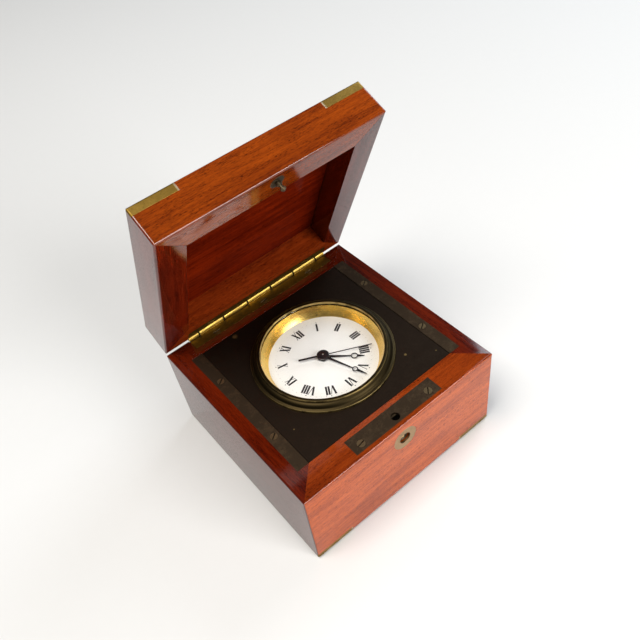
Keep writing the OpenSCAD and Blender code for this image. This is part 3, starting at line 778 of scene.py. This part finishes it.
@dataclass
class Lock(SubAssembly):
    """The lock in the front wall: its plate, its catch and the push button in its escutcheon."""

    head_length: float = 2.6 * MM
    stem_radius: float = 1.5 * MM
    pin_radius: float = 0.95 * MM
    pin_height: float = 0.8 * MM

    def build(self) -> None:
        """Dresses the lock's pieces and models the button."""
        self.dress("lock_plate", "dark_brass", BAR_BRASS, 0.18 * MM)
        self.dress("lock_plate_screws", "dark_brass", SCREW_BRASS, 0.18 * MM)
        self.dress("lock_catch", "dark_brass", DARK_BRASS, 0.1 * MM, body="catch")
        self.dress("escutcheon", "strap_brass", PALE_BRASS, 0.12 * MM)
        self.coat(STEEL, "lock_body", "catch_spring")
        self.build_button()

    def build_button(self) -> None:
        """Turns a button with a dished head and a small pin in its middle, and lays it along Y."""
        low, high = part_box("push_button")
        head = (high.x - low.x) / 2
        length = high.y - low.y
        centre = Vector(((low.x + high.x) / 2, 0, 0))
        dish = [
            (0.0, self.pin_height), (head * 0.55, self.pin_height + 0.25 * MM), (head * 0.86, 0.45 * MM),
            (head * 0.93, 0.1 * MM), (head, 0.3 * MM), (head, self.head_length),
            (self.stem_radius, self.head_length), (self.stem_radius, length), (0.0, length),
        ]
        button = self.laid(Bench.turned("button.turned", dish, centre, 72))
        self.fit(button, "button_brass", DARK_BRASS, "push_button", body="button")
        point = [
            (0.0, 0.0), (self.pin_radius * 0.6, 0.0), (self.pin_radius, 0.3 * MM),
            (self.pin_radius, self.pin_height + 0.1 * MM), (0.0, self.pin_height + 0.1 * MM),
        ]
        pin = self.laid(Bench.turned("button_pin.turned", point, centre, 32))
        self.fit(pin, "button_brass", BUTTON_BRASS, body="button")

    def laid(self, piece: bpy.types.Object) -> bpy.types.Object:
        """Lays an upright turned piece along Y, its foot where the button's face is, and rounds its edges."""
        low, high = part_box("push_button")
        piece.rotation_euler.x = -math.pi / 2
        piece.location = (0, low.y, (low.z + high.z) / 2)
        Bench.settle(piece)
        Bench.soften(piece, 0.06 * MM)
        return piece


@dataclass
class Deck(SubAssembly):
    """The flush bronzed deck and the bars that hold it down."""

    def build(self) -> None:
        """Dresses the deck, with worn spots, and its bars and screws."""
        spots = ((-28.2 * MM, 47.1 * MM, 2.2 * MM), (31.7 * MM, -31.6 * MM, 1.0 * MM),
                 (-42.4 * MM, -27.2 * MM, 0.5 * MM), (45.5 * MM, -41.1 * MM, 0.5 * MM))
        bronze = Metal(
            "deck_bronze", bright=(0.032, 0.021, 0.014), dull=(0.024, 0.016, 0.011), patina=0.55, rough=0.42,
            scratch=(900, 1400, 900), spots=spots, worn=(0.26, 0.18, 0.07),
        )
        self.dress("deck_plate", "deck_bronze", bronze, 0.2 * MM)
        for side in ("left", "right"):
            self.dress(f"deck_bar_{side}", "dark_brass", BAR_BRASS, 0.15 * MM)
        self.dress("deck_bar_screws", "dark_brass", SCREW_BRASS, 0.18 * MM)


# ---- The clock ----


@dataclass
class Clock(SubAssembly):
    """Bowl, bezel, crystal, reflector, dial and hands."""

    sight_radius: float = 34.3 * MM
    bore: float = 35.3 * MM
    lip: float = 1.2 * MM
    foot_radius: float = 31.0 * MM
    hollow: float = 0.25 * MM
    hollow_steps: int = 8
    bowl_inside: float = 33.8 * MM
    bowl_top: float = 59.32 * MM
    dial_hole: float = 2.9 * MM
    numeral_radius: float = 23.2 * MM
    numeral_height: float = 5.7 * MM
    thick: float = 1.08 * MM
    thin: float = 0.34 * MM
    pitch: float = 1.40 * MM
    ink: float = 0.03 * MM
    track_radius: float = 27.0 * MM
    hour_dot: float = 0.30 * MM
    minute_dot: float = 0.13 * MM
    cap_radius: float = 3.55 * MM
    numerals: tuple[str, ...] = ("XII", "I", "II", "III", "IIII", "V", "VI", "VII", "VIII", "IX", "X", "XI")
    centre: Vector = field(default_factory=lambda: Vector((0, 0, 0)))

    def build(self) -> None:
        """Builds the clock from the deck down to the dial and up to the hands."""
        low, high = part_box("bezel")
        self.centre = Vector(((low.x + high.x) / 2, (low.y + high.y) / 2, 0))
        self.build_bezel()
        self.build_crystal()
        self.build_reflector()
        self.build_dial()
        self.build_numerals()
        self.build_track()
        self.build_hands()
        bowl = Turned("bowl_brass", self.centre.y, dull=(0.42, 0.28, 0.10), patina=0.45, rough=0.22)
        self.coat(bowl, "bowl", "bowl_cap", "battery_contacts")

    def span(self, node: str) -> tuple[float, float, Vector]:
        """A round CAD node's radius, its height and the foot of its axis."""
        low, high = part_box(node)
        return (high.x - low.x) / 2, high.z - low.z, self.centre + Vector((0, 0, low.z))

    def build_bezel(self) -> None:
        """Turns the stepped bezel ring, with bright brass on its edges, partly worn and partly painted
        highlight.
        """
        rim, height, foot = self.span("bezel")
        steps = [
            (0, 0), (0, 1.05), (0.1, 1.38), (0.4, 1.6), (1.45, 1.76), (1.7, 1.95), (2.0, 2.6), (2.4, 3.15),
            (2.9, 3.6), (3.4, 3.9), (3.85, 4.08), (4.0, 4.3), (4.1, 4.75), (4.3, 5.05), (4.65, 5.2),
        ]
        profile = [(self.bore, 0.0)]
        profile += [(rim - inward * MM, up * MM) for inward, up in steps]
        sight = self.sight_radius
        profile += [
            (sight + 0.4 * MM, height), (sight + 0.12 * MM, height - 0.1 * MM),
            (sight, height - 0.4 * MM), (sight, height - self.lip), (self.bore, height - self.lip),
        ]
        bezel = Bench.turned("bezel.turned", profile, foot, 180)
        Bench.soften(bezel, 0.06 * MM, 1, 40)
        # bright bands at the outer rim, the step and the sight edge: partly worn brass, partly painted
        # highlight
        wear_and_highlight_bands = (
            (rim - 0.1 * MM, 0.3 * MM, 0.30), (rim - 4.2 * MM, 0.25 * MM, 0.35),
            (sight + 0.05 * MM, 0.4 * MM, 1.0),
        )
        bronze = Turned("bezel_bronze", self.centre.y, bright=(0.60, 0.43, 0.16), dull=(0.034, 0.024, 0.010),
                        patina=0.97, rough=0.36, wear_and_highlight_bands=wear_and_highlight_bands)
        self.fit(bezel, "bezel_bronze", bronze, "bezel")

    def build_crystal(self) -> None:
        """Turns the flat glass with its ground edge."""
        radius, height, foot = self.span("crystal")
        chamfer = 0.3 * MM
        profile = [
            (0.0, 0.0), (radius - chamfer, 0.0), (radius, chamfer), (radius, height - chamfer),
            (radius - chamfer, height), (0.0, height),
        ]
        glass = Bench.turned("crystal.ground", profile, foot, 128)
        Bench.soften(glass, 0.03 * MM, 1)
        self.fit(glass, "crystal_glass", Crystal("crystal_glass"), "crystal")

    def build_reflector(self) -> None:
        """Turns the polished wall between the dial and the glass, slightly hollow."""
        outer, height, foot = self.span("reflector_ring")
        top = self.sight_radius
        inner = []
        for step in range(self.hollow_steps + 1):
            share = step / self.hollow_steps
            hollow = self.hollow * math.sin(math.pi * share)
            inner.append((top + (self.foot_radius - top) * share + hollow, height * (1 - share)))
        seat = self.bowl_top - foot.z
        profile = [(self.bowl_inside, 0.0), (self.bowl_inside, seat), (outer, seat), (outer, height), *inner]
        ring = Bench.turned("reflector.turned", profile, foot, 180)
        Bench.soften(ring, 0.05 * MM, 1, 50)
        gold = Turned("reflector_brass", self.centre.y, bright=(0.90, 0.62, 0.17), dull=(0.66, 0.43, 0.11),
                      patina=0.38, rough=0.16, ring_pitch=3800)
        self.fit(ring, "bowl_brass", gold, "reflector_ring")

    def build_dial(self) -> None:
        """Turns the flat dial with its hole."""
        outer, height, foot = self.span("dial")
        profile = [(self.dial_hole, 0.0), (outer, 0.0), (outer, height), (self.dial_hole, height)]
        dial = Bench.turned("dial.enamelled", profile, foot, 144)
        Bench.soften(dial, 0.05 * MM)
        self.fit(dial, "dial_white", Enamel("dial_white"), "dial")
        self.coat(STEEL, "dial_nut")

    def glyph(self, letter: str) -> tuple[float, list[tuple[float, float, float]], float]:
        """One letter of a numeral.

        Args:
            letter: I, V or X.

        Returns:
            Its advance, its strokes as (place, width, lean), and the width of its serifs.
        """
        if letter == "I":
            return self.pitch, [(0.0, self.thick, 0.0)], self.pitch * 0.86
        if letter == "V":
            return 3.0 * MM, [(-0.66 * MM, self.thick, -1.3 * MM), (0.68 * MM, self.thin, 1.25 * MM)], 0.0
        return 3.1 * MM, [(0.0, self.thick, -1.9 * MM), (0.0, self.thin, 1.9 * MM)], 0.0

    def numeral(self, text: str) -> bpy.types.Object:
        """A whole numeral at the origin, standing along Y.

        Args:
            text: the numeral's letters.

        Returns:
            The joined strokes.
        """
        width = sum(self.glyph(letter)[0] for letter in text)
        strokes, x = [], -width / 2
        for letter in text:
            advance, marks, serif = self.glyph(letter)
            for place, across, lean in marks:
                stroke = Bench.bar(across, self.numeral_height, lean, self.ink)
                stroke.location.x = x + advance / 2 + place
                strokes.append(stroke)
                ends = ((1, lean / 2), (-1, -lean / 2))
                for end, aside in ends:
                    if letter == "V" and end < 0:
                        continue
                    foot = Bench.bar(serif or across + 0.5 * MM, self.thin * 0.4, 0.0, self.ink * 0.9)
                    foot.location.x = stroke.location.x + aside
                    foot.location.y = end * (self.numeral_height / 2 - self.thin * 0.2)
                    strokes.append(foot)
            x += advance
        return Bench.joined(strokes, f"numeral_{text}")

    def build_numerals(self) -> None:
        """Sets the twelve numerals round the dial, their feet inwards."""
        _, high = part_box("dial")
        done = []
        for hour, text in enumerate(self.numerals):
            numeral = self.numeral(text)
            angle = FULL_TURN * hour / 12
            numeral.rotation_euler.z = -angle
            numeral.location = self.centre + Vector(
                (math.sin(angle) * self.numeral_radius, math.cos(angle) * self.numeral_radius, high.z)
            )
            done.append(numeral)
        ring = Bench.joined(done, "dial.numerals")
        self.fit(ring, "hand_black", INK)

    def build_track(self) -> None:
        """Sets a dot at each minute, larger at the hours."""
        _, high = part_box("dial")
        hour_dot, minute_dot = self.dot(self.hour_dot), self.dot(self.minute_dot)
        done = []
        for minute in range(60):
            dot = Bench.copied(minute_dot if minute % 5 else hour_dot)
            angle = FULL_TURN * minute / 60
            dot.location = self.centre + Vector(
                (math.sin(angle) * self.track_radius, math.cos(angle) * self.track_radius, high.z)
            )
            done.append(dot)
        for model in (hour_dot, minute_dot):
            bpy.data.objects.remove(model)
        self.fit(Bench.joined(done, "dial.minute_dots"), "hand_black", INK)

    def dot(self, radius: float) -> bpy.types.Object:
        """A printed dot of a given radius at the origin."""
        Bench.clear()
        bpy.ops.mesh.primitive_circle_add(vertices=12, radius=radius, fill_type="NGON")
        dot = bpy.context.object
        bpy.ops.object.mode_set(mode="EDIT")
        bpy.ops.mesh.select_all(action="SELECT")
        bpy.ops.mesh.extrude_region_move(TRANSFORM_OT_translate={"value": (0, 0, self.ink)})
        bpy.ops.mesh.select_all(action="SELECT")
        bpy.ops.mesh.normals_make_consistent(inside=False)
        Bench.clear()
        return dot

    def build_hands(self) -> None:
        """Dresses the three hands and adds the domed cap over their arbors, with its small pin."""
        self.dress("hour_hand", "hand_black", LACQUER, 0.12 * MM, body="hours")
        self.dress("minute_hand", "hand_black", LACQUER, 0.12 * MM, body="minutes")
        self.dress("seconds_hand", "hand_black", LACQUER, 0.08 * MM, body="seconds")
        _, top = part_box("seconds_hand")
        seat = self.centre + Vector((0, 0, top.z - 0.02 * MM))
        radius = self.cap_radius
        dome = [(0.0, 0.0), (radius, 0.0), (radius, 0.15 * MM)]
        for step in range(1, 8):
            angle = step * math.pi / 16
            dome.append((radius * math.cos(angle), (0.15 + 0.35 * math.sin(angle)) * MM))
        dome.append((0.0, 0.5 * MM))
        cap = Bench.turned("hub_cap.turned", dome, seat, 72)
        Bench.soften(cap, 0.05 * MM, 1)
        self.fit(cap, "hand_black", LACQUER, body="seconds")
        pin = Bench.turned(
            "hub_pin.turned",
            [(0.0, 0.0), (0.42 * MM, 0.0), (0.42 * MM, 0.22 * MM), (0.25 * MM, 0.36 * MM), (0.0, 0.4 * MM)],
            seat + Vector((0, 0, 0.42 * MM)), 24,
        )
        self.fit(pin, "steel", STEEL, body="seconds")


@dataclass
class Movement(SubAssembly):
    """The quartz movement under the dial, seen only when the clock is lifted out."""

    def build(self) -> None:
        """Gives every CAD shape of the movement its finish."""
        self.coat(WHEEL_BRASS, "hour_wheel", "minute_wheel", "seconds_wheel")
        self.coat(Moulded("white_plastic", (0.72, 0.72, 0.68)), "motion_wheel", "third_wheel",
                  "intermediate_wheel", "setting_knob")
        self.coat(Moulded("black_plastic"), "movement_case", "movement_cover")
        self.coat(Moulded("board_green", (0.02, 0.14, 0.06), 0.35), "circuit_board")
        self.coat(STEEL, "stator", "battery", "movement_screws")
        magnet = Metal("magnet_grey", bright=(0.16, 0.16, 0.17), dull=(0.08, 0.08, 0.09), rough=0.5)
        self.coat(magnet, "rotor")
        self.coat(Winding("coil_copper"), "coil")


# ---- Shared finishes ----

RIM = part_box("base_front_wall")[1].z
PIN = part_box("hinge_pin")
STRAP_LENGTH = 24.2 * MM
# Painted light: lighter tones for the lid's front rail, whose outer face is turned up to the light.
LIT_FRONT_RAIL_WOOD = {"deep": (0.105, 0.0125, 0.0008), "warm": (0.290, 0.0480, 0.0022)}
LIT_WOOD = {"deep": (0.100, 0.0090, 0.0010), "warm": (0.310, 0.0430, 0.0060), "polish": 0.25}
# Painted light: lighter tones for the case's front wall, which faces the light, and painted shade on its
# rim's top.
LIT_AND_SHADED_FRONT_WOOD = {"deep": (0.270, 0.0370, 0.0034), "warm": (0.610, 0.1080, 0.0090), "gloss": 1.44, "rim": RIM}
# Dark tones of the case's back and side walls; on the lid's right rail the same tones are painted shade.
DARK_AND_SHADED_WOOD = {"deep": (0.040, 0.0024, 0.0008), "warm": (0.135, 0.0120, 0.0016)}
STRAP_BRASS = Metal(
    "strap_brass", bright=(0.33, 0.200, 0.040), dull=(0.215, 0.130, 0.026), patina=0.5, rough=0.36,
    pale_inside=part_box("base_straps_front")[1].x - STRAP_LENGTH,
)
PALE_BRASS = Metal(
    "pale_brass", bright=(0.38, 0.26, 0.14), dull=(0.27, 0.18, 0.095), patina=0.4, rough=0.38,
)
HINGE_BRASS = Metal(
    "hinge_brass", bright=(0.20, 0.125, 0.030), dull=(0.13, 0.080, 0.020), patina=0.5, rough=0.34,
    rod=((PIN[0].y + PIN[1].y) / 2, (PIN[0].z + PIN[1].z) / 2, 2.15 * MM), gap_start=-42.5 * MM,
    gap_pitch=17.4 * MM,
)
DARK_BRASS = Metal(
    "dark_brass", bright=(0.16, 0.115, 0.065), dull=(0.065, 0.048, 0.030), patina=0.58, rough=0.36,
)
# Painted shade darkens its hollows below the rim height.
SCREW_BRASS = Metal(
    "screw_brass", bright=(0.22, 0.155, 0.080), dull=(0.12, 0.082, 0.044), patina=0.45, rough=0.34,
    top=RIM,
)
BAR_BRASS = Metal(
    "bar_brass", bright=(0.105, 0.070, 0.040), dull=(0.050, 0.033, 0.020), patina=0.60, rough=0.42,
)
OLD_GREASE = Metal(
    "greased_steel", bright=(0.030, 0.022, 0.012), dull=(0.014, 0.010, 0.006), patina=0.6, rough=0.55,
)
BUTTON_BRASS = Metal(
    "button_brass", bright=(0.78, 0.60, 0.26), dull=(0.50, 0.36, 0.14), patina=0.4, rough=0.2,
)
WHEEL_BRASS = Metal(
    "wheel_brass", bright=(0.78, 0.58, 0.24), dull=(0.60, 0.42, 0.16), patina=0.3, rough=0.25,
)
STEEL = Metal("steel", bright=(0.55, 0.55, 0.56), dull=(0.34, 0.33, 0.32), patina=0.35, rough=0.3)
INK = Enamel("dial_ink", (0.008, 0.008, 0.010), (0.016, 0.016, 0.018), 0.4, 0.2)
LACQUER = Enamel("hand_lacquer", (0.006, 0.006, 0.007), (0.011, 0.011, 0.012), 0.22, 0.6)


# ---- Studio ----


@dataclass(frozen=True)
class Softbox:
    """A square area light."""

    name: str
    place: tuple[float, float, float]
    aim: tuple[float, float, float]
    size: float
    power: float
    colour: Colour = (1.0, 1.0, 1.0)

    def hang(self) -> None:
        """Adds the light to the scene."""
        light = bpy.data.lights.new(self.name, "AREA")
        light.energy = self.power
        light.size = self.size
        light.color = self.colour
        holder = bpy.data.objects.new(self.name, light)
        holder.location = self.place
        holder.rotation_euler = (Vector(self.aim) - Vector(self.place)).to_track_quat("-Z", "Y").to_euler()
        bpy.context.scene.collection.objects.link(holder)


@dataclass
class Studio:
    """Pale floor, soft light and the camera."""

    azimuth: float = math.radians(-31.83)
    elevation: float = math.radians(47.12)
    roll: float = math.radians(-10.15)
    distance: float = 0.41618
    target: tuple[float, float, float] = (0.01457, 0.02114, 0.060)
    lens: float = 40.59
    floor_size: float = 8.0
    sky: Colour = (0.80, 0.84, 0.90)
    sky_strength: float = 0.06
    lights: tuple[Softbox, ...] = (
        Softbox("key", (-0.70, -0.05, 1.85), (0.0, 0.02, 0.06), 1.0, 36.0, (1.0, 0.97, 0.92)),
        Softbox("front", (0.45, -1.6, 0.95), (0.0, 0.0, 0.06), 1.0, 30.0),
        Softbox("right", (1.5, 0.35, 1.1), (0.0, 0.0, 0.06), 0.9, 14.0, (0.82, 0.91, 1.0)),
    )

    def build(self) -> None:
        """Sets up the whole studio."""
        self.lay_floor()
        self.set_camera()
        for light in self.lights:
            light.hang()
        world = bpy.data.worlds.new("studio")
        bpy.context.scene.world = world
        world.use_nodes = True
        background = world.node_tree.nodes["Background"]
        background.inputs["Color"].default_value = (*self.sky, 1.0)
        background.inputs["Strength"].default_value = self.sky_strength
        bpy.context.scene.view_settings.view_transform = "Standard"

    def lay_floor(self) -> None:
        """Lays a pale floor that carries the case."""
        Bench.clear()
        bpy.ops.mesh.primitive_plane_add(size=self.floor_size, location=(0, 0, 0))
        floor = bpy.context.object
        floor.name = "floor"
        Bench.settle(floor)
        floor.data.materials.append(Moulded("floor_paper", (0.74, 0.735, 0.725), 0.6, 0.985).material())

    def set_camera(self) -> None:
        """Places the camera a little to the left, as high as a reader's eye."""
        back = Vector((
            math.sin(self.azimuth) * math.cos(self.elevation),
            -math.cos(self.azimuth) * math.cos(self.elevation),
            math.sin(self.elevation),
        ))
        camera = bpy.data.cameras.new("camera")
        camera.lens = self.lens
        holder = bpy.data.objects.new("camera", camera)
        turn = back.to_track_quat("Z", "Y").to_matrix().to_4x4()
        holder.matrix_world = turn
        holder.rotation_euler.rotate_axis("Z", self.roll)
        holder.location = Vector(self.target) + back * self.distance
        bpy.context.scene.collection.objects.link(holder)
        bpy.context.scene.camera = holder


def main() -> None:
    """Builds every sub-assembly in order, then the studio."""
    logging.basicConfig(level=logging.INFO, format="%(name)s: %(message)s")
    for part in (Case(), Lid(), Hinge(), Lock(), Deck(), Clock(), Movement()):
        log.info("building %s", type(part).__name__)
        part.build()
    Studio().build()
    bpy.context.view_layer.update()


if __name__ == "__main__":
    main()
